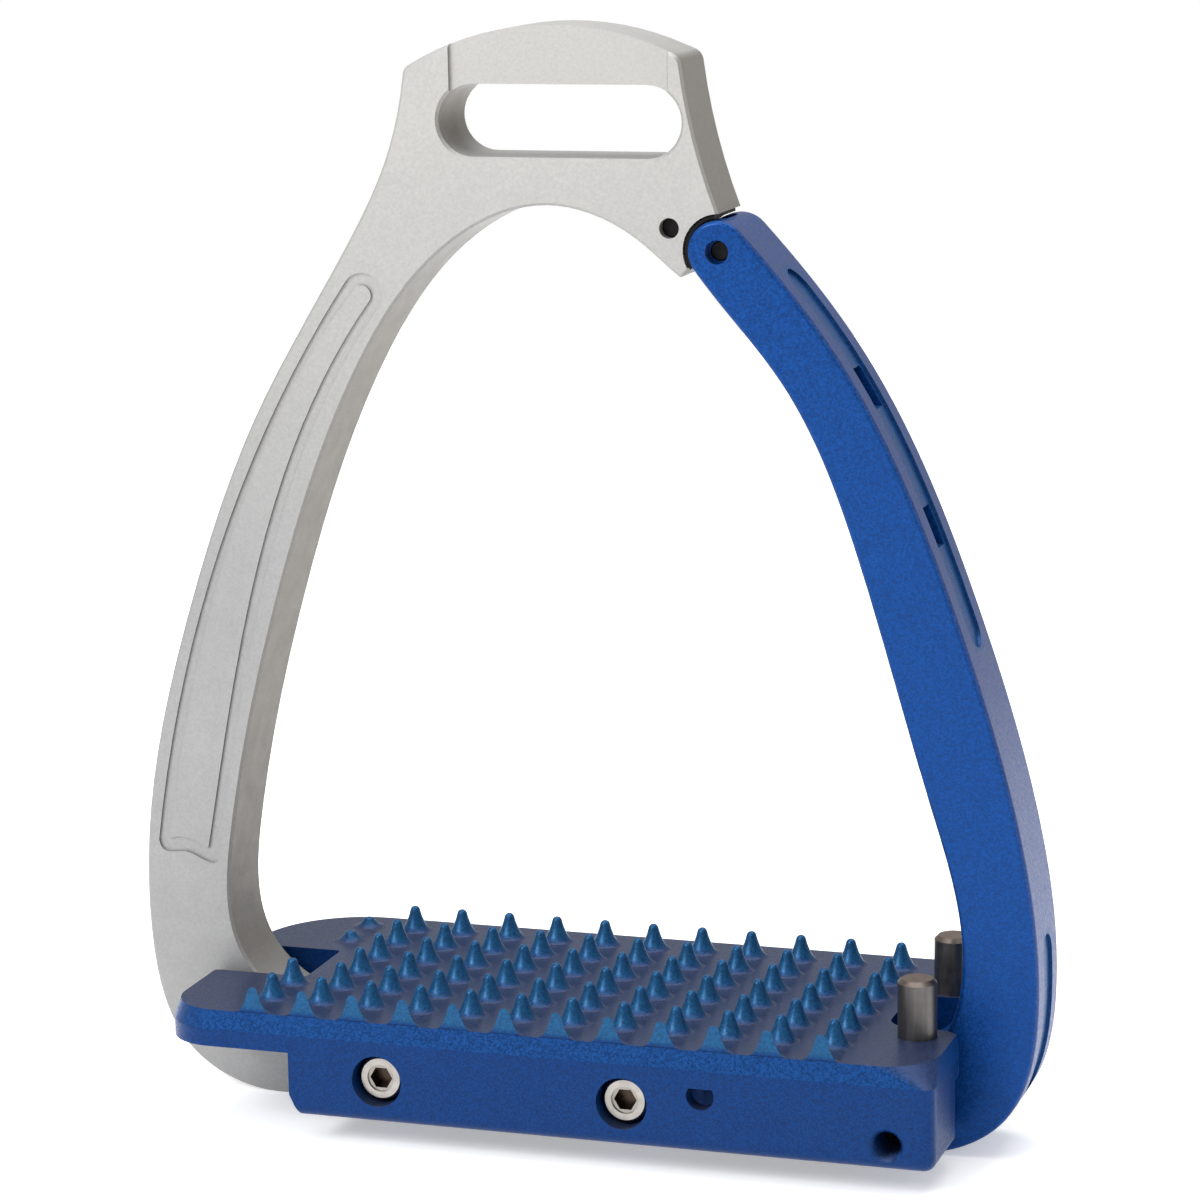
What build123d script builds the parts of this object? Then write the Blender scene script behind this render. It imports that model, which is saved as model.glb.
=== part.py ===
from build123d import *
import math
import os

# A safety stirrup iron. X runs across it towards the hinged arm, Y runs from its
# front face to its back, Z is up, and the origin is under the middle of the base.

# The one-piece frame: head, fixed arm and the bar under the tread.
FRAME_DEPTH = 12.0
FRAME_HALF_WIDTH = 70.5
FRAME_EDGE_CHAMFER = 0.4
CREST_CORNER_ROUND = 2.0
BAR_TOP = 13.9
BAR_END = 48.9
STRAP_SLOT_CENTRE = (-0.8, 151.4)
STRAP_SLOT_WIDTH = 37.2
STRAP_SLOT_HEIGHT = 10.6
STRAP_BAR_WIDTH = 33.5
STRAP_BAR_RELIEF = 0.6
GROOVE_DEPTH = 0.4

# The hinge: a link pinned into the head carries the arm's knuckle, and its thin
# curved shield lines the head's seat around the knuckle. Sectors are degrees.
HINGE = (23.2, 133.0)
HEAD_PIN_CENTRE = (15.8, 136.2)
SEAT_RADIUS = 5.4
KNUCKLE_RADIUS = 4.5
KNUCKLE_SLOT_RADIUS = 3.9
KNUCKLE_SLOT_SECTOR = (84.0, 180.0)
LINK_WIDTH = 6.0
LINK_SIDE_PLAY = 0.1
LINK_BARREL_RADIUS = 3.6
LINK_ROOT_RADIUS = 3.2
LINK_NECK_WIDTH = 2.6
SHIELD_RADII = (4.72, 5.22)
SHIELD_SECTOR = (99.0, 212.0)
SHIELD_WIDTH = 11.2
PIN_RADIUS = 1.5
PIN_CHAMFER = 0.2
HINGE_PLAY = 0.05
HEAD_PIN_INSET = 1.5
HINGE_PIN_INSET = 2.0
HINGE_MOUTH_RADIUS = 1.75

# The hinged arm, whose sides leave the knuckle along its two tangents.
ARM_DEPTH = 14.0
ARM_HALF_WIDTH = 70.7
ARM_EDGE_ROUND = 0.7
OUTER_TANGENT = 43.0
INNER_TANGENT = 216.0
FOOT_END = 49.2
FOOT_TOP = 13.6
SIDE_GROOVE_WIDTH = 6.0
SIDE_GROOVE_DEPTH = 0.5
SIDE_GROOVES = ((75.5, 130.0), (8.0, 33.0))
SIDE_WINDOW_LENGTH = 5.8
SIDE_WINDOW_WIDTH = 4.4
SIDE_WINDOW_DEPTH = 5.0
SIDE_WINDOWS = (93.0, 113.0)

# The spiked footbed, clamped over the bar.
TREAD_LENGTH = 120.0
TREAD_DEPTH = 55.0
TREAD_TOP = 19.6
RIM_FOLD = 16.8
RIM_BOTTOM = 14.1
RIM_LEAN = 0.8
BLOCK_LEFT = -38.9
BLOCK_BOTTOM = 4.2
BLOCK_WALL = 2.6
BLOCK_CUT_WIDTH = 1.6
BLOCK_CUT_HEIGHT = 3.4
BLOCK_END_ROUND = 1.8
TREAD_CORNER_ROUND = 2.0
POCKET_RIGHT = 46.0
POCKET_ROUND = 2.0
CHANNEL_WALL = 3.5
BAR_CHANNEL_WIDTH = 12.3
FOOT_CHANNEL_WIDTH = 14.6
CHANNEL_FLARE = 9.0
CHANNEL_MOUTH_OFFSET = 0.3
LEFT_NOTCH = (-44.0, 14.4)
RIGHT_NOTCH = (48.2, 15.8)
SPIKE_PITCH = 8.0
SPIKE_COLUMNS = 12
SPIKE_ROWS = 7
SPIKE_HEIGHT = 4.0
SPIKE_FLARE = 2.8
SPIKE_WAIST = (1.5, 1.3)
SPIKE_NECK = (0.78, 3.38)
SPIKE_ROOT = 0.5
SPIKE_TRIM = 0.9
SPIKE_GRID_CENTRE = (-0.7, -2.8)
SPIKES_LEFT_OUT = ((0, 3), (0, 4))
SPIKES_LOW = ((0, 5), (0, 6))
LOW_SPIKE_HEIGHT = 1.6

# Fasteners, pins and the detent that holds the arm shut.
CLAMP_SCREW_XS = (-24.8, 13.4)
CLAMP_SCREW_Z = 10.8
CLAMP_SCREW_RADIUS = 2.0
CLAMP_CLEARANCE_RADIUS = 2.2
CLAMP_HEAD_RADIUS = 3.35
CLAMP_HEAD_HEIGHT = 4.0
CLAMP_HEAD_RECESS = 1.8
CLAMP_BORE_RADIUS = 3.9
CLAMP_SOCKET_RADIUS = 1.75
CLAMP_SOCKET_DEPTH = 2.2
CLAMP_SOCKET_MOUTH_RADIUS = 2.1
CLAMP_SOCKET_MOUTH_DEPTH = 0.3
CLAMP_HEAD_EDGE = 0.3
CLAMP_SCREW_END = 16.0
BOSS_HALF_WIDTH = 5.2
DRAIN_CENTRE = (25.4, 13.0)
DRAIN_RADIUS = 2.1
GUARD_PIN_X = 53.8
GUARD_PIN_Y = 11.5
GUARD_PIN_RADIUS = 2.9
GUARD_PIN_BOTTOM = 11.6
GUARD_PIN_TOP = 28.4
GUARD_PIN_CHAMFER = 0.6
GUARD_PIN_PLAY = 0.02
DETENT_CENTRE = (53.1, 8.0)
DETENT_BALL_RADIUS = 2.0
DETENT_BALL_Y = -8.5
DETENT_BORE_RADIUS = 2.05
DETENT_THREAD_RADIUS = 2.5
DETENT_THREAD_MINOR_RADIUS = 2.1
DETENT_THREAD_PITCH = 0.8
DETENT_THREAD_END = -13.0
SET_SCREW_OUTER_Y = -20.5
SET_SCREW_INNER_Y = -15.5
SET_SCREW_RADIUS = 2.05
SET_SCREW_SOCKET_RADIUS = 1.4
SET_SCREW_SOCKET_DEPTH = 2.0
SPRING_RADIUS = 1.4
SPRING_WIRE_RADIUS = 0.2
SPRING_PITCH = 0.9

FRONT_Y = -TREAD_DEPTH / 2
LONG_EDGE = 14.0
UNIT_SPEED = (1, 1)


def front_plane(y):
    """A front-view plane at depth y: its X is X, its Y is Z, and it looks at -Y."""
    return Plane(origin=(0, y, 0), x_dir=(1, 0, 0), z_dir=(0, -1, 0))


def about_hinge(radius, angle):
    """The front-view point at a radius and an angle in degrees from the hinge."""
    turn = math.radians(angle)
    return (HINGE[0] + radius * math.cos(turn), HINGE[1] + radius * math.sin(turn))


def knuckle_direction(angle):
    """The way the knuckle's rim runs, clockwise, at an angle in degrees."""
    turn = math.radians(angle)
    return (math.sin(turn), -math.cos(turn))


def ring_sector(inner, outer, sector):
    """A front-view sector of a ring about the hinge, as a flat face."""
    first, last = sector
    middle = (first + last) / 2
    with BuildSketch() as ring:
        with BuildLine():
            outer_arc = ThreePointArc(*(about_hinge(outer, turn) for turn in (first, middle, last)))
            inner_arc = ThreePointArc(*(about_hinge(inner, turn) for turn in (first, middle, last)))
            Line(outer_arc @ 0, inner_arc @ 0)
            Line(outer_arc @ 1, inner_arc @ 1)
        make_face()
    return ring.sketch


def bore(centre, radius, front_y, back_y, mode=Mode.SUBTRACT):
    """A round bore along Y, or a peg with Mode.ADD, between two depths."""
    middle = Location((centre[0], (front_y + back_y) / 2, centre[1]), (90, 0, 0))
    with Locations(middle):
        Cylinder(radius, back_y - front_y, mode=mode)


def long_edges(part, depth):
    """The longer edges around the front and back faces of a flat profile."""
    faces = part.faces().filter_by(Axis.Y).sort_by(Axis.Y)
    edges = faces[0].edges() + faces[-1].edges()
    return edges.filter_by(lambda edge: edge.length > LONG_EDGE)


def frame_outline():
    """The frame's front view: crest, head sides, fixed arm, bar and arch."""
    crest_left = (-24.7, 158.9)
    crest_right = (17.7, 160.7)
    seat_top = about_hinge(SEAT_RADIUS, 90)
    seat_lip = about_hinge(SEAT_RADIUS, 208)
    lip_tip = (17.3, 129.1)
    bar_start = (-49.7, 0)
    inner_start = (-41.8, BAR_TOP)
    RadiusArc(crest_left, crest_right, 44.2)
    RadiusArc(crest_right, seat_top, -90)
    ThreePointArc(seat_top, about_hinge(SEAT_RADIUS, 150), seat_lip)
    Line(seat_lip, lip_tip)
    Spline(
        lip_tip,
        (11.3, 134.1),
        (-3.0, 139.2),
        (-17.2, 134.0),
        (-32.9, 114.7),
        (-47.2, 78.4),
        (-55.9, 42.0),
        (-53.9, 20.6),
        inner_start,
        tangents=[(-0.8, 0.6), (1, 0)],
        tangent_scalars=UNIT_SPEED,
    )
    Polyline(inner_start, (BAR_END, BAR_TOP), (BAR_END, 0), bar_start)
    arm_side = Spline(
        bar_start,
        (-64.4, 6.0),
        (-FRAME_HALF_WIDTH, 24.0),
        (-62.1, 76.1),
        (-49.3, 107.8),
        (-33.9, 133.5),
        (-27.2, 147.3),
        tangents=[(-1, 0), (0.32, 0.95)],
        tangent_scalars=UNIT_SPEED,
    )
    TangentArc(arm_side @ 1, crest_left, tangent=arm_side % 1)


def groove_loop():
    """The shallow closed channel around the fixed arm's panel, as a flat face."""
    with BuildSketch() as loop:
        with BuildLine():
            left = Spline((-68.5, 39.5), (-60.3, 75.3), (-46.2, 108.6), (-34.8, 127.1))
            right = Spline((-58.6, 38.5), (-48.2, 84.8), (-38.2, 109.9), (-29.2, 123.9))
            ThreePointArc(left @ 1, (-30.4, 128.3), right @ 1)
            Spline(left @ 0, (-67.4, 37.8), (-64.2, 37.9), (-61.2, 36.8), (-59.2, 36.4), right @ 0)
        make_face()
        with BuildLine():
            left = Spline((-66.7, 39.8), (-58.6, 75.9), (-44.7, 109.4), (-33.5, 126.0))
            right = Spline((-60.2, 38.7), (-49.9, 85.2), (-39.7, 110.7), (-30.8, 124.7))
            ThreePointArc(left @ 1, (-31.4, 126.7), right @ 1)
            Spline(left @ 0, (-64.3, 40.2), (-61.9, 39.5), right @ 0)
        make_face(mode=Mode.SUBTRACT)
    return loop.sketch


def make_frame():
    groove = groove_loop()
    with BuildPart() as frame:
        with BuildSketch(Plane.XZ) as profile:
            with BuildLine():
                frame_outline()
            make_face()
            crest_corners = profile.vertices().filter_by_position(Axis.Y, 158, 162)
            fillet(crest_corners, CREST_CORNER_ROUND)
            with Locations(STRAP_SLOT_CENTRE):
                SlotOverall(STRAP_SLOT_WIDTH, STRAP_SLOT_HEIGHT, mode=Mode.SUBTRACT)
        extrude(amount=FRAME_DEPTH / 2, both=True)
        chamfer(long_edges(frame, FRAME_DEPTH), FRAME_EDGE_CHAMFER)
        for side in (-1, 1):
            relief_y = side * (FRAME_DEPTH / 2)
            with BuildSketch(Plane.XY.offset(STRAP_SLOT_CENTRE[1])):
                with Locations((STRAP_SLOT_CENTRE[0], relief_y)):
                    RectangleRounded(STRAP_BAR_WIDTH, 2 * STRAP_BAR_RELIEF, STRAP_BAR_RELIEF * 0.95)
            extrude(amount=HINGE[1], mode=Mode.SUBTRACT)
            with BuildSketch(front_plane(relief_y)):
                add(groove)
            extrude(amount=GROOVE_DEPTH, both=True, mode=Mode.SUBTRACT)
        with BuildSketch(Plane.XZ):
            for end in (HEAD_PIN_CENTRE, HINGE):
                with Locations(end):
                    Circle(LINK_ROOT_RADIUS + LINK_SIDE_PLAY)
            make_hull()
        extrude(amount=LINK_WIDTH / 2 + LINK_SIDE_PLAY, both=True, mode=Mode.SUBTRACT)
        bore(HEAD_PIN_CENTRE, PIN_RADIUS, -FRAME_DEPTH, FRAME_DEPTH)
        for x in CLAMP_SCREW_XS:
            bore((x, CLAMP_SCREW_Z), CLAMP_CLEARANCE_RADIUS, -FRAME_DEPTH, FRAME_DEPTH)
    frame.part.label = "frame"
    return frame.part


def arm_outer_edge():
    """The hinged arm's outer side, from the knuckle round to the flat of its foot."""
    return Spline(
        about_hinge(KNUCKLE_RADIUS, OUTER_TANGENT),
        (41.5, 117.4),
        (58.6, 80.5),
        (68.9, 44.0),
        (ARM_HALF_WIDTH, 24.0),
        (65.0, 5.2),
        (52.5, 0),
        tangents=[knuckle_direction(OUTER_TANGENT), (-1, 0)],
        tangent_scalars=UNIT_SPEED,
    )


def arm_outline():
    """The hinged arm's front view: outer side, foot, inner side and knuckle."""
    outer = arm_outer_edge()
    knuckle_end = about_hinge(KNUCKLE_RADIUS, INNER_TANGENT)
    Polyline(outer @ 1, (FOOT_END, 0), (FOOT_END, FOOT_TOP))
    Spline(
        (FOOT_END, FOOT_TOP),
        (56.0, 17.6),
        (59.2, 27.0),
        (54.3, 53.5),
        (43.9, 88.6),
        (32.2, 114.7),
        knuckle_end,
        tangents=[(1, 0.1), knuckle_direction(INNER_TANGENT)],
        tangent_scalars=UNIT_SPEED,
    )
    ThreePointArc(knuckle_end, about_hinge(KNUCKLE_RADIUS, OUTER_TANGENT + 90), outer @ 0)


def side_pocket(low_z, high_z, width, depth, square):
    """A cutter for a pocket of even depth let into the arm's outer side."""
    steps = 24
    with BuildLine(mode=Mode.PRIVATE):
        outer = arm_outer_edge()
    floor = []
    for step in range(steps + 1):
        point = outer @ (step / steps)
        along = outer % (step / steps)
        floor.append((point.X + along.Y * depth, point.Y - along.X * depth))
    with BuildPart() as cutter:
        with BuildSketch(Plane.YZ):
            with Locations((0, (low_z + high_z) / 2)):
                if square:
                    Rectangle(width, high_z - low_z)
                else:
                    SlotOverall(high_z - low_z, width, rotation=90)
        extrude(amount=ARM_HALF_WIDTH + depth)
        with BuildSketch(Plane.XZ):
            with BuildLine():
                inner_side = Spline(*floor)
                Polyline(inner_side @ 1, (-depth, 0), (-depth, HINGE[1] + depth), inner_side @ 0)
            make_face()
        extrude(amount=ARM_DEPTH, both=True, mode=Mode.SUBTRACT)
    return cutter.part


def make_arm():
    neck_slot = ring_sector(KNUCKLE_SLOT_RADIUS - 1, KNUCKLE_SLOT_RADIUS * 1.5, KNUCKLE_SLOT_SECTOR)
    pockets = []
    for low, high in SIDE_GROOVES:
        pockets.append(side_pocket(low, high, SIDE_GROOVE_WIDTH, SIDE_GROOVE_DEPTH, False))
    for middle in SIDE_WINDOWS:
        low = middle - SIDE_WINDOW_LENGTH / 2
        high = middle + SIDE_WINDOW_LENGTH / 2
        pockets.append(side_pocket(low, high, SIDE_WINDOW_WIDTH, SIDE_WINDOW_DEPTH, True))
    with BuildPart() as arm:
        with BuildSketch(Plane.XZ):
            with BuildLine():
                arm_outline()
            make_face()
        extrude(amount=ARM_DEPTH / 2, both=True)
        fillet(long_edges(arm, ARM_DEPTH), ARM_EDGE_ROUND)
        for pocket in pockets:
            add(pocket, mode=Mode.SUBTRACT)
        slot_half = LINK_WIDTH / 2 + LINK_SIDE_PLAY
        bore(HINGE, KNUCKLE_SLOT_RADIUS, -slot_half, slot_half)
        with BuildSketch(Plane.XZ):
            add(neck_slot)
        extrude(amount=slot_half, both=True, mode=Mode.SUBTRACT)
        bore(HINGE, PIN_RADIUS, -ARM_DEPTH, ARM_DEPTH)
        mouth_y = ARM_DEPTH / 2 - HINGE_PIN_INSET
        bore(HINGE, HINGE_MOUTH_RADIUS, -ARM_DEPTH, -mouth_y)
        bore(HINGE, HINGE_MOUTH_RADIUS, mouth_y, ARM_DEPTH)
        with Locations((DETENT_CENTRE[0], DETENT_BALL_Y, DETENT_CENTRE[1])):
            Sphere(DETENT_BALL_RADIUS + HINGE_PLAY, mode=Mode.SUBTRACT)
    arm.part.label = "release_arm"
    return arm.part


def make_link():
    span = (HINGE[0] - HEAD_PIN_CENTRE[0], HINGE[1] - HEAD_PIN_CENTRE[1])
    middle = (HEAD_PIN_CENTRE[0] + span[0] / 2, HEAD_PIN_CENTRE[1] + span[1] / 2)
    shield = ring_sector(*SHIELD_RADII, SHIELD_SECTOR)
    with BuildPart() as link:
        with BuildSketch(Plane.XZ):
            with Locations(HEAD_PIN_CENTRE):
                Circle(LINK_ROOT_RADIUS)
            with Locations(HINGE):
                Circle(LINK_BARREL_RADIUS)
            with Locations(middle):
                tilt = math.degrees(math.atan2(span[1], span[0]))
                Rectangle(math.hypot(*span), LINK_NECK_WIDTH, rotation=tilt)
        extrude(amount=LINK_WIDTH / 2, both=True)
        with BuildSketch(Plane.XZ):
            add(shield)
        extrude(amount=SHIELD_WIDTH / 2, both=True)
        bore(HEAD_PIN_CENTRE, PIN_RADIUS, -LINK_WIDTH, LINK_WIDTH)
        bore(HINGE, PIN_RADIUS + HINGE_PLAY, -LINK_WIDTH, LINK_WIDTH)
    link.part.label = "hinge_link"
    return link.part


def make_cross_pin(centre, length, name):
    """A plain steel pin along Y with a small chamfer on each end."""
    with BuildPart() as pin:
        bore(centre, PIN_RADIUS, -length / 2, length / 2, mode=Mode.ADD)
        chamfer(pin.edges().filter_by(GeomType.CIRCLE), PIN_CHAMFER)
    pin.part.label = name
    return pin.part


def tread_outline(inset, corner_radii):
    """The tread's plan view, drawn in by an inset, each corner with its own round."""
    width = TREAD_LENGTH - 2 * inset
    depth = TREAD_DEPTH - 2 * inset
    with BuildSketch() as outline:
        Rectangle(width, depth)
        for side_x, side_y, radius in corner_radii:
            corner = (side_x * width / 2, side_y * depth / 2, 0)
            fillet(outline.vertices().sort_by_distance(corner)[0], radius)
    return outline.sketch


def notch(side, inner_x, width, inner_round, mouth_round):
    """A plan view cutter for the notch an arm passes through at one end of the tread."""
    mouth_x = side * TREAD_LENGTH / 2
    beyond_x = mouth_x + side * mouth_round
    half = width / 2
    with BuildSketch() as outline:
        with BuildLine():
            Polyline(
                (inner_x, -half),
                (mouth_x, -half),
                (mouth_x, -TREAD_DEPTH),
                (beyond_x, -TREAD_DEPTH),
                (beyond_x, TREAD_DEPTH),
                (mouth_x, TREAD_DEPTH),
                (mouth_x, half),
                (inner_x, half),
                close=True,
            )
        make_face()
        for side_y in (-1, 1):
            inner = (inner_x, side_y * half, 0)
            mouth = (mouth_x, side_y * half, 0)
            fillet(outline.vertices().sort_by_distance(inner)[0], inner_round)
            fillet(outline.vertices().sort_by_distance(mouth)[0], mouth_round)
    return outline.sketch


def make_spike(height):
    """One gripping spike: a wide foot running up to a rounded tip."""
    scale = height / SPIKE_HEIGHT
    waist = (SPIKE_WAIST[0], SPIKE_WAIST[1] * scale)
    neck = (SPIKE_NECK[0], SPIKE_NECK[1] * scale)
    ball_z = (height**2 - neck[0] ** 2 - neck[1] ** 2) / (2 * (height - neck[1]))
    ball_radius = height - ball_z
    half_turn = math.atan2(neck[0], neck[1] - ball_z) / 2
    shoulder = (ball_radius * math.sin(half_turn), ball_z + ball_radius * math.cos(half_turn))
    with BuildPart() as spike:
        with BuildSketch(Plane.XZ):
            with BuildLine():
                Polyline((0, height), (0, -SPIKE_ROOT), (SPIKE_FLARE, -SPIKE_ROOT), (SPIKE_FLARE, 0))
                Spline(
                    (SPIKE_FLARE, 0),
                    waist,
                    neck,
                    tangents=[(-1, 0.05), (-0.25, scale)],
                    tangent_scalars=UNIT_SPEED,
                )
                ThreePointArc(neck, shoulder, (0, height))
            make_face()
        revolve(axis=Axis.Z)
    return spike.part


def make_spikes():
    """The whole field of spikes, cut flat along the tread's front edge."""
    tall = []
    low = []
    for column in range(SPIKE_COLUMNS):
        for row in range(SPIKE_ROWS):
            x = SPIKE_GRID_CENTRE[0] + (column - (SPIKE_COLUMNS - 1) / 2) * SPIKE_PITCH
            y = SPIKE_GRID_CENTRE[1] + (row - (SPIKE_ROWS - 1) / 2) * SPIKE_PITCH
            if (column, row) in SPIKES_LOW:
                low.append((x, y, TREAD_TOP))
            elif (column, row) not in SPIKES_LEFT_OUT:
                tall.append((x, y, TREAD_TOP))
    tall_spike = make_spike(SPIKE_HEIGHT)
    low_spike = make_spike(LOW_SPIKE_HEIGHT)
    with BuildPart() as spikes:
        with Locations(*tall):
            add(tall_spike)
        with Locations(*low):
            add(low_spike)
        with Locations((0, FRONT_Y + SPIKE_TRIM, TREAD_TOP)):
            trim = (Align.CENTER, Align.MAX, Align.CENTER)
            Box(TREAD_LENGTH, TREAD_DEPTH, 4 * SPIKE_HEIGHT, align=trim, mode=Mode.SUBTRACT)
    return spikes.part


def make_block():
    """The block below the tread, before it is hollowed for the bar and the foot."""
    right = TREAD_LENGTH / 2
    with BuildPart() as block:
        with BuildSketch(Plane.XZ) as profile:
            with BuildLine():
                Polyline(
                    (BLOCK_LEFT, RIM_BOTTOM),
                    (BLOCK_LEFT, BLOCK_BOTTOM + BLOCK_CUT_HEIGHT),
                    (BLOCK_LEFT + BLOCK_CUT_WIDTH, BLOCK_BOTTOM),
                    (right, BLOCK_BOTTOM),
                    (right, RIM_BOTTOM),
                    close=True,
                )
            make_face()
            lower_right = profile.vertices().sort_by_distance((right, BLOCK_BOTTOM, 0))[0]
            fillet(lower_right, BLOCK_END_ROUND)
        extrude(amount=TREAD_DEPTH / 2, both=True)
        right_corners = block.edges().filter_by(Axis.Z).filter_by_position(Axis.X, right, right)
        fillet(right_corners, TREAD_CORNER_ROUND)
    return block.part


def channel_outline():
    """The plan view of the channel for the bar, wider and flared for the arm's foot."""
    right = TREAD_LENGTH / 2 + CHANNEL_MOUTH_OFFSET
    half_bar = BAR_CHANNEL_WIDTH / 2
    half_foot = FOOT_CHANNEL_WIDTH / 2
    beyond = right + CHANNEL_FLARE
    with BuildSketch() as outline:
        with BuildLine():
            Polyline(
                (BLOCK_LEFT - 1, -half_bar),
                (BAR_END, -half_bar),
                (BAR_END, -half_foot),
                (right, -half_foot),
                (right, -TREAD_DEPTH),
                (beyond, -TREAD_DEPTH),
                (beyond, TREAD_DEPTH),
                (right, TREAD_DEPTH),
                (right, half_foot),
                (BAR_END, half_foot),
                (BAR_END, half_bar),
                (BLOCK_LEFT - 1, half_bar),
                close=True,
            )
        make_face()
        for side_y in (-1, 1):
            mouth = (right, side_y * half_foot, 0)
            fillet(outline.vertices().sort_by_distance(mouth)[0], CHANNEL_FLARE)
    return outline.sketch


def pocket_outline():
    """The plan view of the lightening pockets either side of the channel."""
    first, second = CLAMP_SCREW_XS
    spans = (
        (BLOCK_LEFT + BLOCK_WALL, first - BOSS_HALF_WIDTH),
        (first + BOSS_HALF_WIDTH, second - BOSS_HALF_WIDTH),
        (second + BOSS_HALF_WIDTH, POCKET_RIGHT),
    )
    outer = TREAD_DEPTH / 2 - BLOCK_WALL
    inner = BAR_CHANNEL_WIDTH / 2 + CHANNEL_WALL
    with BuildSketch() as outline:
        for low_x, high_x in spans:
            for side in (-1, 1):
                with Locations(((low_x + high_x) / 2, side * (outer + inner) / 2)):
                    RectangleRounded(high_x - low_x, outer - inner, POCKET_ROUND)
    return outline.sketch


def thread_cutter():
    """The threaded bore of the detent, its thread drawn as closed rings."""
    minor = DETENT_THREAD_MINOR_RADIUS
    major = DETENT_THREAD_RADIUS
    profile = [(0, FRONT_Y - 1), (major, FRONT_Y - 1), (major, FRONT_Y)]
    for turn in range(int((DETENT_THREAD_END - FRONT_Y) / DETENT_THREAD_PITCH)):
        y = FRONT_Y + turn * DETENT_THREAD_PITCH
        profile.append((minor, y + DETENT_THREAD_PITCH / 2))
        profile.append((major, y + DETENT_THREAD_PITCH))
    profile.append((0, profile[-1][1]))
    with BuildPart() as cutter:
        with BuildSketch():
            with BuildLine():
                Polyline(*profile, close=True)
            make_face()
        revolve(axis=Axis.Y)
    return Pos(DETENT_CENTRE[0], 0, DETENT_CENTRE[1]) * cutter.part


def make_footbed():
    corners = ((-1, -1, 8.0), (-1, 1, 16.0))
    square_end = corners + ((1, -1, TREAD_CORNER_ROUND), (1, 1, TREAD_CORNER_ROUND))
    round_end = corners + ((1, -1, 8.0), (1, 1, 12.0))
    rim = tread_outline(0, square_end)
    top = tread_outline(RIM_LEAN, round_end)
    left_notch = notch(-1, LEFT_NOTCH[0], LEFT_NOTCH[1], 0.8, 2.0)
    right_notch = notch(1, RIGHT_NOTCH[0], RIGHT_NOTCH[1], 3.5, 4.0)
    spikes = make_spikes()
    block = make_block()
    channel = channel_outline()
    pockets = pocket_outline()
    threads = thread_cutter()
    with BuildPart() as bed:
        with BuildSketch(Plane.XY.offset(RIM_BOTTOM)):
            add(rim)
        extrude(amount=RIM_FOLD - RIM_BOTTOM)
        with BuildSketch(Plane.XY.offset(RIM_FOLD)):
            add(rim)
        with BuildSketch(Plane.XY.offset(TREAD_TOP)):
            add(top)
        loft()
        add(block)
        with BuildSketch(Plane.XY.offset(RIM_BOTTOM)):
            add(left_notch)
            add(right_notch)
        extrude(amount=TREAD_TOP, mode=Mode.SUBTRACT)
        with BuildSketch(Plane.XY.offset(RIM_BOTTOM)):
            add(channel)
        extrude(amount=-RIM_BOTTOM, mode=Mode.SUBTRACT)
        with BuildSketch(Plane.XY.offset(RIM_BOTTOM)):
            add(pockets)
        extrude(amount=-RIM_BOTTOM, mode=Mode.SUBTRACT)
        for x in CLAMP_SCREW_XS:
            centre = (x, CLAMP_SCREW_Z)
            head_end = FRONT_Y + CLAMP_HEAD_RECESS + CLAMP_HEAD_HEIGHT
            bore(centre, CLAMP_BORE_RADIUS, FRONT_Y, head_end)
            bore(centre, CLAMP_CLEARANCE_RADIUS, FRONT_Y, 0)
            bore(centre, CLAMP_SCREW_RADIUS + HINGE_PLAY, 0, CLAMP_SCREW_END)
        with BuildSketch(front_plane(FRONT_Y)):
            with Locations(DRAIN_CENTRE):
                Circle(DRAIN_RADIUS)
            with Locations((DRAIN_CENTRE[0], RIM_BOTTOM)):
                flat = (Align.CENTER, Align.MIN)
                Rectangle(4 * DRAIN_RADIUS, 4 * DRAIN_RADIUS, align=flat, mode=Mode.SUBTRACT)
        extrude(amount=-2 * BLOCK_WALL, mode=Mode.SUBTRACT)
        add(threads, mode=Mode.SUBTRACT)
        bore(DETENT_CENTRE, DETENT_BORE_RADIUS, DETENT_THREAD_END - DETENT_THREAD_PITCH, 0)
        for side in (-1, 1):
            with Locations((GUARD_PIN_X, side * GUARD_PIN_Y, GUARD_PIN_BOTTOM)):
                up = (Align.CENTER, Align.CENTER, Align.MIN)
                Cylinder(GUARD_PIN_RADIUS + GUARD_PIN_PLAY, TREAD_TOP, align=up, mode=Mode.SUBTRACT)
        add(spikes)
    bed.part.label = "footbed"
    return bed.part


def make_clamp_screws():
    """The socket cap screws that clamp the footbed around the bar."""
    head_y = FRONT_Y + CLAMP_HEAD_RECESS
    shank_y = head_y + CLAMP_HEAD_HEIGHT
    with BuildPart() as screws:
        for x in CLAMP_SCREW_XS:
            centre = (x, CLAMP_SCREW_Z)
            bore(centre, CLAMP_HEAD_RADIUS, head_y, shank_y, mode=Mode.ADD)
            bore(centre, CLAMP_SCREW_RADIUS, shank_y, CLAMP_SCREW_END, mode=Mode.ADD)
            bore(centre, CLAMP_SOCKET_MOUTH_RADIUS, head_y, head_y + CLAMP_SOCKET_MOUTH_DEPTH)
        heads = screws.edges().filter_by(GeomType.CIRCLE).filter_by_position(Axis.Y, head_y, head_y)
        chamfer(heads.filter_by(lambda edge: edge.radius > CLAMP_SCREW_RADIUS * 1.5), CLAMP_HEAD_EDGE)
        with BuildSketch(front_plane(head_y)):
            for x in CLAMP_SCREW_XS:
                with Locations((x, CLAMP_SCREW_Z)):
                    RegularPolygon(CLAMP_SOCKET_RADIUS, 6)
        extrude(amount=-CLAMP_SOCKET_DEPTH, mode=Mode.SUBTRACT)
    screws.part.label = "clamp_screws"
    return screws.part


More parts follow.
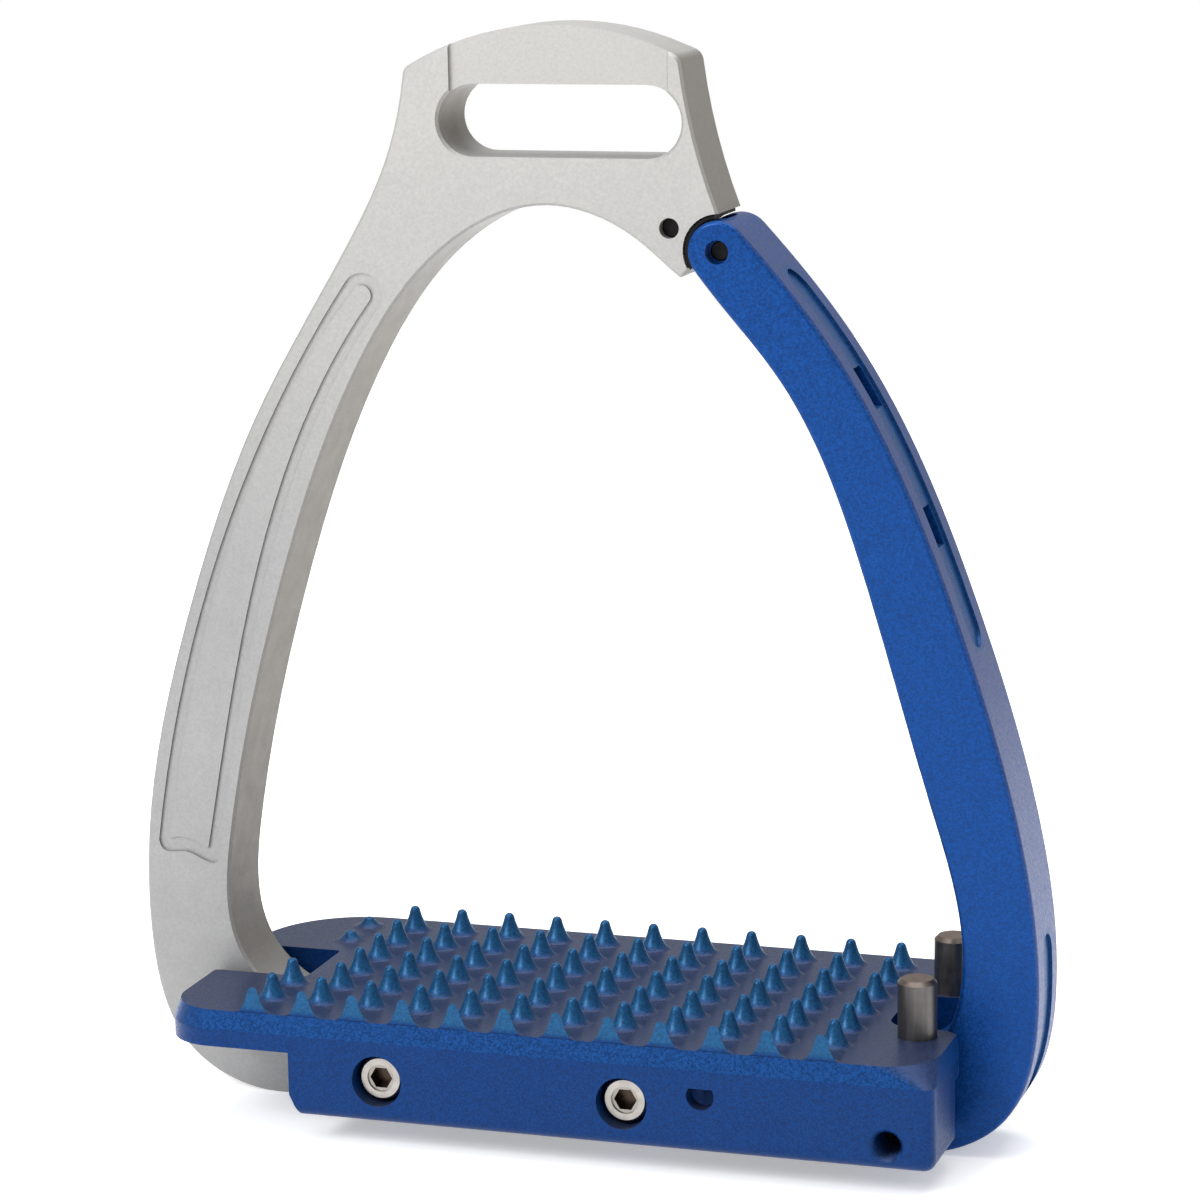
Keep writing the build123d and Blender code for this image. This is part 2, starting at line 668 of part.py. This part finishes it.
def make_guard_pin(side, name):
    """A dowel standing beside the right notch to steer the arm's foot home."""
    up = (Align.CENTER, Align.CENTER, Align.MIN)
    with BuildPart() as pin:
        with Locations((GUARD_PIN_X, side * GUARD_PIN_Y, GUARD_PIN_BOTTOM)):
            Cylinder(GUARD_PIN_RADIUS, GUARD_PIN_TOP - GUARD_PIN_BOTTOM, align=up)
        chamfer(pin.edges().filter_by(GeomType.CIRCLE), GUARD_PIN_CHAMFER)
    pin.part.label = name
    return pin.part


def make_set_screw():
    """The headless screw that loads the detent spring."""
    with BuildPart() as screw:
        bore(DETENT_CENTRE, SET_SCREW_RADIUS, SET_SCREW_OUTER_Y, SET_SCREW_INNER_Y, mode=Mode.ADD)
        chamfer(screw.edges().filter_by(GeomType.CIRCLE), PIN_CHAMFER)
        with BuildSketch(front_plane(SET_SCREW_OUTER_Y)):
            with Locations(DETENT_CENTRE):
                RegularPolygon(SET_SCREW_SOCKET_RADIUS, 6)
        extrude(amount=-SET_SCREW_SOCKET_DEPTH, mode=Mode.SUBTRACT)
    screw.part.label = "detent_set_screw"
    return screw.part


def make_spring():
    """The coil spring between the set screw and the ball."""
    length = DETENT_BALL_Y - DETENT_BALL_RADIUS - SET_SCREW_INNER_Y
    turns_length = length - 2 * SPRING_WIRE_RADIUS
    start = (DETENT_CENTRE[0], SET_SCREW_INNER_Y + SPRING_WIRE_RADIUS, DETENT_CENTRE[1])
    coil = Location(start, (-90, 0, 0)) * Helix(SPRING_PITCH, turns_length, SPRING_RADIUS)
    with BuildPart() as spring:
        with BuildSketch(Plane(origin=coil @ 0, z_dir=coil % 0)):
            Circle(SPRING_WIRE_RADIUS)
        sweep(path=coil)
    spring.part.label = "detent_spring"
    return spring.part


def make_ball():
    with BuildPart() as ball:
        with Locations((DETENT_CENTRE[0], DETENT_BALL_Y, DETENT_CENTRE[1])):
            Sphere(DETENT_BALL_RADIUS)
    ball.part.label = "detent_ball"
    return ball.part


if __name__ == "__main__":
    os.makedirs("parts", exist_ok=True)
    pieces = (
        make_frame(),
        make_arm(),
        make_footbed(),
        make_link(),
        make_cross_pin(HEAD_PIN_CENTRE, FRAME_DEPTH - 2 * HEAD_PIN_INSET, "head_pin"),
        make_cross_pin(HINGE, ARM_DEPTH - 2 * HINGE_PIN_INSET, "hinge_pin"),
        make_clamp_screws(),
        make_guard_pin(-1, "front_guard_pin"),
        make_guard_pin(1, "rear_guard_pin"),
        make_set_screw(),
        make_spring(),
        make_ball(),
    )
    for piece in pieces:
        export_step(piece, "parts/" + piece.label + ".step")
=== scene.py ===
"""The looks of a safety release stirrup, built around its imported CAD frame."""
from math import radians

import bpy
from mathutils import Euler, Matrix, Vector

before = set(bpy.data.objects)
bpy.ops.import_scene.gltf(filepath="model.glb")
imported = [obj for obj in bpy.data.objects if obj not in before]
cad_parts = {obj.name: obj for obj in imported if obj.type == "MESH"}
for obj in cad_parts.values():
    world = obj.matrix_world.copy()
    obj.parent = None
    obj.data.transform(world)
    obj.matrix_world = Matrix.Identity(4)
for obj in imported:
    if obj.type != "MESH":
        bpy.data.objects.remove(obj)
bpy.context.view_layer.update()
MM = 0.001
WHITE = (1, 1, 1, 1)

# How far the sharp edges of these nodes are softened, in mm.
EDGE_SOFTENING = {"frame": 0.25, "release_arm": 0.12, "footbed": 0.12, "hinge_link": 0.1}

# What every finish shares: how it takes light, the middle half of a noise's values, which
# is spread over each range of tones, and how far a painted limit fades to each side, in mm.
COAT_ROUGHNESS = 0.22
SPECULAR_LEVEL = 0.15
NOISE_RANGE = (0.25, 0.75)
LIMIT_FADE = 0.05

# The heights over which the aluminium grows paler towards the head, in mm: painted light, standing
# in for the brighter light up there.
HEAD_PAINTED_LIGHT_RISE = (85, 150)

# The paint's flake cells and the heights between which a spike is painted paler, in mm,
# and the paler colour of the rim's upward-leaning band: both are painted light.
FLAKE_SIZE = 0.22
SPIKE_PAINTED_LIGHT_RISE = (19.7, 20.6)
RIM_BAND_PAINTED_LIGHT = (0.003, 0.040, 0.160)

# The arm's side grooves and the windows in them: their heights and half widths, in mm.
GROOVE_HEIGHTS = ((75.0, 130.5), (7.5, 33.5))
GROOVE_HALF = 3.1
WINDOW_HEIGHTS = ((90.2, 95.8), (110.2, 115.8))
WINDOW_HALF = 2.25

# Where bright steel turns to painted shade, in mm along Y: from just behind the clamp
# screws' front faces, so that their sockets are painted dark.
SOCKET_SHADE = (-25.6, -24.8)

# The camera's long lens, the point it aims at, how far off it stands and the nearest it
# sees, in mm, and its angles in degrees: round to the right, raised, and a little tilted.
LENS = 119.5
SENSOR_WIDTH = 36.0
CAMERA_AIM = (2.39, 0.0, 79.70)
CAMERA_DISTANCE = 595.1
NEAREST_SEEN = 10
CAMERA_AZIMUTH = 18.336
CAMERA_ELEVATION = 11.574
CAMERA_ROLL = -0.975

# The square paper ground, in m, and how strongly it glows. It reaches far in front and
# ends behind the iron, where it has faded into the white.
FLOOR_SIDE = 2.9
FLOOR_MIDDLE = (0, -0.6, 0)
FLOOR_GLOW = 0.4

# The white that the camera sees, and the dimmer even light around the iron.
BACKDROP_STRENGTH = 1.0
AROUND_STRENGTH = 0.62

# Each square lamp's place, aim and side, in m, and its power, in W.
LAMPS = {
    "key": {"place": (-0.6, -0.9, 0.8), "aim": (0, 0, 0.08), "side": 0.5, "power": 10},
    "top": {"place": (0.0, 0.1, 1.2), "aim": (0, 0, 0), "side": 1.2, "power": 14},
    "head": {"place": (-0.1, -0.3, 0.42), "aim": (0, 0, 0.15), "side": 0.2, "power": 0.35},
}


# ---------------------------------------------------------------- materials

def grey(value):
    """A colour without a hue."""
    return (value, value, value)


class Paint:
    """A node material whose colour, roughness and bump come from object-space noise."""

    def __init__(self, name, metallic, coat=0.0):
        self.material = bpy.data.materials.new(name)
        self.material.use_nodes = True
        self.tree = self.material.node_tree
        self.shader = self.tree.nodes["Principled BSDF"]
        self.shader.inputs["Metallic"].default_value = metallic
        self.shader.inputs["Coat Weight"].default_value = coat
        self.shader.inputs["Coat Roughness"].default_value = COAT_ROUGHNESS
        self.shader.inputs["Specular IOR Level"].default_value = SPECULAR_LEVEL
        self.place = self.tree.nodes.new("ShaderNodeTexCoord").outputs["Object"]
        self.normal = None

    def link(self, output, target):
        """Join one node's output to another's input."""
        self.tree.links.new(output, target)

    def noise(self, scale_mm, detail, stretch=None):
        """Noise whose features are about this many mm across."""
        texture = self.tree.nodes.new("ShaderNodeTexNoise")
        texture.inputs["Scale"].default_value = 1 / (scale_mm * MM)
        texture.inputs["Detail"].default_value = detail
        place = self.place
        if stretch:
            mapping = self.tree.nodes.new("ShaderNodeMapping")
            mapping.inputs["Scale"].default_value = stretch
            self.link(place, mapping.inputs["Vector"])
            place = mapping.outputs["Vector"]
        self.link(place, texture.inputs["Vector"])
        return texture.outputs["Fac"]

    def flakes(self, scale_mm):
        """A random value for each flake-sized cell."""
        cells = self.tree.nodes.new("ShaderNodeTexVoronoi")
        cells.inputs["Scale"].default_value = 1 / (scale_mm * MM)
        self.link(self.place, cells.inputs["Vector"])
        split = self.tree.nodes.new("ShaderNodeSeparateColor")
        self.link(cells.outputs["Color"], split.inputs["Color"])
        return split.outputs["Red"]

    def ranged(self, value, source, result=(0, 1)):
        """Carry one range of values onto another, and hold what lies beyond it at its ends."""
        node = self.tree.nodes.new("ShaderNodeMapRange")
        for socket, limit in zip(("From Min", "From Max", "To Min", "To Max"), (*source, *result)):
            node.inputs[socket].default_value = limit
        self.link(value, node.inputs["Value"])
        return node.outputs["Result"]

    def spread(self, value, low, high):
        """The middle half of a noise's or the flakes' values, carried onto a new range."""
        return self.ranged(value, NOISE_RANGE, (low, high))

    def facing(self, axis, low, high):
        """How much the surface faces along an object axis, from 0 to 1."""
        split = self.tree.nodes.new("ShaderNodeSeparateXYZ")
        normal = self.tree.nodes.new("ShaderNodeTexCoord").outputs["Normal"]
        self.link(normal, split.inputs["Vector"])
        return self.ranged(split.outputs[axis], (low, high))

    def along(self, axis, low_mm, high_mm):
        """How far a point lies between two places along an object axis, from 0 to 1."""
        split = self.tree.nodes.new("ShaderNodeSeparateXYZ")
        self.link(self.place, split.inputs["Vector"])
        return self.ranged(split.outputs[axis], (low_mm * MM, high_mm * MM))

    def within(self, axis, *spans_mm):
        """One inside any of some stretches along an object axis, and nothing outside them."""
        inside = 0.0
        for low, high in spans_mm:
            above = self.along(axis, low - LIMIT_FADE, low + LIMIT_FADE)
            below = self.along(axis, high + LIMIT_FADE, high - LIMIT_FADE)
            inside = self.combine("MAXIMUM", inside, self.combine("MULTIPLY", above, below))
        return inside

    def combine(self, operation, first, second):
        """Two values, each a number or an output, put together by one arithmetic step."""
        node = self.tree.nodes.new("ShaderNodeMath")
        node.operation = operation
        for socket, value in zip(node.inputs, (first, second)):
            if isinstance(value, (int, float)):
                socket.default_value = value
            else:
                self.link(value, socket)
        return node.outputs["Value"]

    def blend(self, value, first, second):
        """A colour between two, each a tuple or another colour output."""
        mix = self.tree.nodes.new("ShaderNodeMix")
        mix.data_type = "RGBA"
        self.link(value, mix.inputs["Factor"])
        for socket, colour in ((mix.inputs["A"], first), (mix.inputs["B"], second)):
            if isinstance(colour, tuple):
                socket.default_value = (*colour, 1)
            else:
                self.link(colour, socket)
        return mix.outputs["Result"]

    def scaled(self, colour, value):
        """A colour made lighter or darker by a value around one."""
        scale = self.tree.nodes.new("ShaderNodeVectorMath")
        scale.operation = "SCALE"
        self.link(colour, scale.inputs[0])
        self.link(value, scale.inputs["Scale"])
        return scale.outputs["Vector"]

    def colour(self, output):
        """Paint the surface with a colour output."""
        self.link(output, self.shader.inputs["Base Color"])

    def roughness(self, output):
        """Make the surface as rough as an output says."""
        self.link(output, self.shader.inputs["Roughness"])

    def bump(self, height, depth_mm):
        """Raise the surface by a height output, on top of any bump it has already."""
        node = self.tree.nodes.new("ShaderNodeBump")
        node.inputs["Distance"].default_value = depth_mm * MM
        self.link(height, node.inputs["Height"])
        if self.normal:
            self.link(self.normal, node.inputs["Normal"])
        self.normal = node.outputs["Normal"]
        self.link(self.normal, self.shader.inputs["Normal"])


def satin_aluminium():
    """Fine blasted casting: pale, with a soft grain; painted light makes it paler and warmer at
    the head, painted shade darker and warmer on the sides.
    """
    paint = Paint("satin_aluminium", metallic=0.55)
    base = paint.blend(paint.noise(14, detail=3), grey(0.280), grey(0.318))
    # Painted light: the head's paler, warmer tones stand in for the brighter light up there.
    head = paint.blend(paint.noise(14, detail=3), (0.368, 0.363, 0.352), (0.402, 0.397, 0.384))
    base = paint.blend(paint.along("Z", *HEAD_PAINTED_LIGHT_RISE), base, head)
    # Painted shade: the faces along X turn darker and warmer, turned away from the key light.
    base = paint.blend(paint.facing("X", 0.3, 0.9), base, (0.248, 0.234, 0.213))
    grain = paint.spread(paint.noise(0.45, detail=3), 0.93, 1.07)
    paint.colour(paint.scaled(base, grain))
    paint.roughness(paint.spread(paint.noise(3, detail=5), 0.50, 0.62))
    paint.bump(paint.noise(0.35, detail=3), 0.03)
    paint.bump(paint.noise(5, detail=3), 0.06)
    return paint.material


def groove_painted_light_mask(paint):
    """Where the arm's side grooves are painted light: one in the grooves, but not down in the
    windows cut through them.
    """
    grooves = paint.combine(
        "MULTIPLY",
        paint.within("Z", *GROOVE_HEIGHTS),
        paint.within("Y", (-GROOVE_HALF, GROOVE_HALF)),
    )
    windows = paint.combine(
        "MULTIPLY",
        paint.within("Z", *WINDOW_HEIGHTS),
        paint.within("Y", (-WINDOW_HALF, WINDOW_HALF)),
    )
    return paint.combine("MULTIPLY", grooves, paint.combine("SUBTRACT", 1.0, windows))


def blue_flake(name, deep, bright, painted_sheen_axis, painted_sheen_tone, spike_painted_light=None, groove_painted_light=None):
    """Metallic blue with fine flake under a soft clearcoat, with a painted reflection making the
    faces along one axis paler.
    """
    paint = Paint(name, metallic=0.4, coat=0.06)
    base = paint.blend(paint.noise(4, detail=6), deep, bright)
    if spike_painted_light:
        # Painted light: the rim's upward-leaning band is painted paler.
        base = paint.blend(paint.facing("Z", 0.15, 0.28), base, RIM_BAND_PAINTED_LIGHT)
    # Painted reflection: the faces along one axis take a paler, greyer painted sheen.
    base = paint.blend(paint.facing(painted_sheen_axis, 0.3, 0.95), base, painted_sheen_tone)
    if spike_painted_light:
        # Painted light: the spikes are painted paler than the tread they stand on.
        base = paint.blend(paint.along("Z", *SPIKE_PAINTED_LIGHT_RISE), base, spike_painted_light)
    # Painted light: the grooves are painted lighter than the shade they lie in.
    if groove_painted_light:
        base = paint.blend(groove_painted_light_mask(paint), base, groove_painted_light)
    flake = paint.spread(paint.flakes(FLAKE_SIZE), 0.80, 1.20)
    fine = paint.spread(paint.noise(0.55, detail=4), 0.88, 1.12)
    paint.colour(paint.scaled(paint.scaled(base, flake), fine))
    paint.roughness(paint.spread(paint.flakes(FLAKE_SIZE), 0.30, 0.48))
    paint.bump(paint.flakes(FLAKE_SIZE), 0.004)
    paint.bump(paint.noise(0.8, detail=4), 0.02)
    return paint.material


def black_satin(name):
    """Near-black finish of the link, the pins and the set screw."""
    paint = Paint(name, metallic=0.0)
    paint.colour(paint.blend(paint.noise(2, detail=5), grey(0.002), (0.006, 0.005, 0.005)))
    paint.roughness(paint.spread(paint.noise(0.8, detail=5), 0.38, 0.58))
    paint.bump(paint.noise(0.4, detail=4), 0.012)
    return paint.material


def worn_steel():
    """Dull ground dowel steel, streaked lengthwise, and paler and warmer on its top."""
    paint = Paint("worn_steel", metallic=0.9)
    streaks = paint.noise(0.8, detail=5, stretch=(1, 1, 0.08))
    base = paint.blend(streaks, (0.060, 0.058, 0.057), (0.150, 0.142, 0.136))
    paint.colour(paint.blend(paint.facing("Z", 0.5, 0.95), base, (0.170, 0.120, 0.095)))
    paint.roughness(paint.spread(paint.noise(1.5, detail=5), 0.28, 0.48))
    paint.bump(streaks, 0.01)
    return paint.material


def bright_steel():
    """Stainless steel in uneven patches, with painted shade wherever it lies behind the screws'
    faces.
    """
    paint = Paint("bright_steel", metallic=1.0)
    base = paint.blend(paint.noise(1.2, detail=5), (0.22, 0.20, 0.185), (0.46, 0.44, 0.41))
    # Painted shade: everything deeper than the screws' faces is painted dark.
    paint.colour(paint.blend(paint.along("Y", *SOCKET_SHADE), base, (0.05, 0.035, 0.028)))
    paint.roughness(paint.spread(paint.noise(0.6, detail=5), 0.22, 0.40))
    paint.bump(paint.noise(0.25, detail=3), 0.008)
    return paint.material


def make_finishes():
    """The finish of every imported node."""
    arm_blue = blue_flake(
        "blue_arm_flake",
        deep=(0.001, 0.037, 0.173),
        bright=(0.002, 0.046, 0.205),
        painted_sheen_axis="X",
        painted_sheen_tone=(0.036, 0.068, 0.205),
        groove_painted_light=(0.010, 0.060, 0.195),
    )
    tread_blue = blue_flake(
        "blue_tread_flake",
        deep=(0.000, 0.023, 0.110),
        bright=(0.001, 0.029, 0.132),
        painted_sheen_axis="Z",
        painted_sheen_tone=(0.025, 0.038, 0.090),
        spike_painted_light=(0.008, 0.066, 0.165),
    )
    dowel = worn_steel()
    bright = bright_steel()
    black = black_satin("black_satin")
    return {
        "frame": satin_aluminium(),
        "release_arm": arm_blue,
        "footbed": tread_blue,
        "hinge_link": black,
        "head_pin": black_satin("black_pin"),
        "hinge_pin": black,
        "clamp_screws": bright,
        "front_guard_pin": dowel,
        "rear_guard_pin": dowel,
        "detent_set_screw": black,
        "detent_spring": bright,
        "detent_ball": bright,
    }


def dress_nodes():
    """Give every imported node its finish, and soften the edges that the camera sees most."""
    for name, material in make_finishes().items():
        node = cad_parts[name]
        for slot in node.material_slots:
            slot.material = material
        if name in EDGE_SOFTENING:
            soften = node.modifiers.new("soft_edges", "BEVEL")
            soften.width = EDGE_SOFTENING[name] * MM
            soften.segments = 2
            soften.limit_method = "ANGLE"


# ---------------------------------------------------------------- stage

def add_camera():
    """The product shot's camera: a long lens to the right of the iron, looking down a little."""
    data = bpy.data.cameras.new("camera")
    data.sensor_width = SENSOR_WIDTH
    data.lens = LENS
    data.clip_start = NEAREST_SEEN * MM
    camera = bpy.data.objects.new("camera", data)
    heading = Euler((radians(90 - CAMERA_ELEVATION), 0, radians(CAMERA_AZIMUTH))).to_matrix()
    turn = heading @ Matrix.Rotation(radians(CAMERA_ROLL), 3, "Z")
    stand = Vector(CAMERA_AIM) + turn @ Vector((0, 0, CAMERA_DISTANCE))
    camera.matrix_world = Matrix.Translation(stand * MM) @ turn.to_4x4()
    bpy.context.scene.collection.objects.link(camera)
    bpy.context.scene.camera = camera


def add_floor():
    """A pale paper ground that glows faintly."""
    bpy.ops.mesh.primitive_plane_add(size=FLOOR_SIDE, location=FLOOR_MIDDLE)
    floor = bpy.context.object
    floor.name = "floor"
    paper = Paint("floor_paper", metallic=0.0)
    paper.colour(paper.blend(paper.noise(30, detail=2), grey(0.90), grey(0.92)))
    paper.shader.inputs["Roughness"].default_value = 0.9
    paper.shader.inputs["Emission Color"].default_value = WHITE
    paper.shader.inputs["Emission Strength"].default_value = FLOOR_GLOW
    floor.data.materials.append(paper.material)


def add_lamp(name, place, aim, side, power):
    """A soft square lamp aimed at a point."""
    data = bpy.data.lights.new(name, "AREA")
    data.shape = "SQUARE"
    data.size = side
    data.energy = power
    light = bpy.data.objects.new(name, data)
    light.location = place
    direction = Vector(aim) - Vector(place)
    light.rotation_euler = direction.to_track_quat("-Z", "Y").to_euler()
    bpy.context.scene.collection.objects.link(light)


def add_world():
    """White where the camera looks past the iron, and a dimmer even light around it."""
    world = bpy.data.worlds.new("studio")
    world.use_nodes = True
    tree = world.node_tree
    backdrop = tree.nodes["Background"]
    around = tree.nodes.new("ShaderNodeBackground")
    for background, strength in ((backdrop, BACKDROP_STRENGTH), (around, AROUND_STRENGTH)):
        background.inputs["Color"].default_value = WHITE
        background.inputs["Strength"].default_value = strength
    choose = tree.nodes.new("ShaderNodeMixShader")
    path = tree.nodes.new("ShaderNodeLightPath")
    tree.links.new(path.outputs["Is Camera Ray"], choose.inputs["Fac"])
    tree.links.new(around.outputs["Background"], choose.inputs[1])
    tree.links.new(backdrop.outputs["Background"], choose.inputs[2])
    tree.links.new(choose.outputs["Shader"], tree.nodes["World Output"].inputs["Surface"])
    bpy.context.scene.world = world
    bpy.context.scene.view_settings.view_transform = "Standard"


dress_nodes()
add_camera()
add_floor()
add_world()
for lamp_name, lamp in LAMPS.items():
    add_lamp(lamp_name, **lamp)
